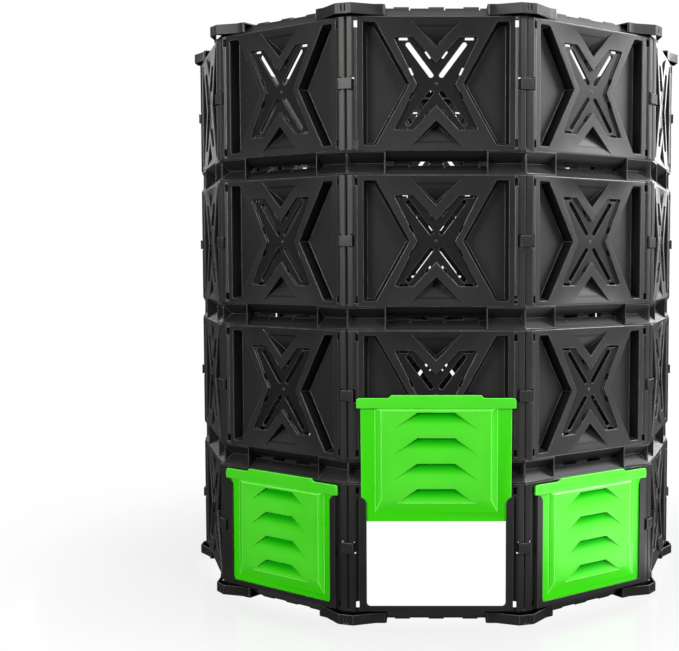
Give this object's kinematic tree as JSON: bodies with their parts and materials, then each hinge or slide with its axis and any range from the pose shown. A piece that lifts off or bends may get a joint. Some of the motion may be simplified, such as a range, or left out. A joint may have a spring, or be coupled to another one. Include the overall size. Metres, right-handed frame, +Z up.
{
  "type": "modular compost bin",
  "caption": "Open ring of clip-together vented wall panels with caps, shoes and three sliding harvest doors at the base.",
  "frame": {"origin": "centre of the ring at ground level", "axes": "+Z up, -Y outward through the middle door"},
  "size_m": [0.9898, 0.9498, 1.0344],
  "materials": {
    "panel_black": "fine-grained satin black polypropylene",
    "fitting_black": "satin black polypropylene",
    "door_green": "satin bright green polypropylene"
  },
  "bodies": {
    "bin_wall": {"wall_panel_tier1_col3": "panel_black", "wall_panel_tier1_col4": "panel_black", "wall_panel_tier1_col5": "panel_black", "wall_panel_tier1_col6": "panel_black", "wall_panel_tier1_col7": "panel_black", "wall_panel_tier1_col8": "panel_black", "wall_panel_tier1_col9": "panel_black", "wall_panel_tier2_col1": "panel_black", "wall_panel_tier2_col2": "panel_black", "wall_panel_tier2_col3": "panel_black", "wall_panel_tier2_col4": "panel_black", "wall_panel_tier2_col5": "panel_black", "wall_panel_tier2_col6": "panel_black", "wall_panel_tier2_col7": "panel_black", "wall_panel_tier2_col8": "panel_black", "wall_panel_tier2_col9": "panel_black", "wall_panel_tier2_col10": "panel_black", "wall_panel_tier3_col1": "panel_black", "wall_panel_tier3_col2": "panel_black", "wall_panel_tier3_col3": "panel_black", "wall_panel_tier3_col4": "panel_black", "wall_panel_tier3_col5": "panel_black", "wall_panel_tier3_col6": "panel_black", "wall_panel_tier3_col7": "panel_black", "wall_panel_tier3_col8": "panel_black", "wall_panel_tier3_col9": "panel_black", "wall_panel_tier3_col10": "panel_black", "wall_panel_tier4_col1": "panel_black", "wall_panel_tier4_col2": "panel_black", "wall_panel_tier4_col3": "panel_black", "wall_panel_tier4_col4": "panel_black", "wall_panel_tier4_col5": "panel_black", "wall_panel_tier4_col6": "panel_black", "wall_panel_tier4_col7": "panel_black", "wall_panel_tier4_col8": "panel_black", "wall_panel_tier4_col9": "panel_black", "wall_panel_tier4_col10": "panel_black", "door_frame_left": "panel_black", "door_frame_middle": "panel_black", "door_frame_right": "panel_black", "corner_connectors_lower": "fitting_black", "corner_connectors_middle": "fitting_black", "corner_connectors_upper": "fitting_black", "seam_clips_tier1": "fitting_black", "seam_clips_tier2": "fitting_black", "seam_clips_tier3": "fitting_black", "seam_clips_tier4": "fitting_black", "top_corner_caps": "fitting_black", "bottom_corner_shoes": "fitting_black"},
    "left_door": {"door_left": "door_green"},
    "middle_door": {"door_middle": "door_green"},
    "right_door": {"door_right": "door_green"}
  },
  "joints": [
    {"name": "left_door_slide", "type": "slide", "parent": "bin_wall", "child": "left_door", "axis": [0, 0, 1], "range_m": [0, 0.18]},
    {"name": "middle_door_slide", "type": "slide", "parent": "bin_wall", "child": "middle_door", "axis": [0, 0, 1], "range_m": [-0.1495, 0.0305]},
    {"name": "right_door_slide", "type": "slide", "parent": "bin_wall", "child": "right_door", "axis": [0, 0, 1], "range_m": [0, 0.18]}
  ]
}
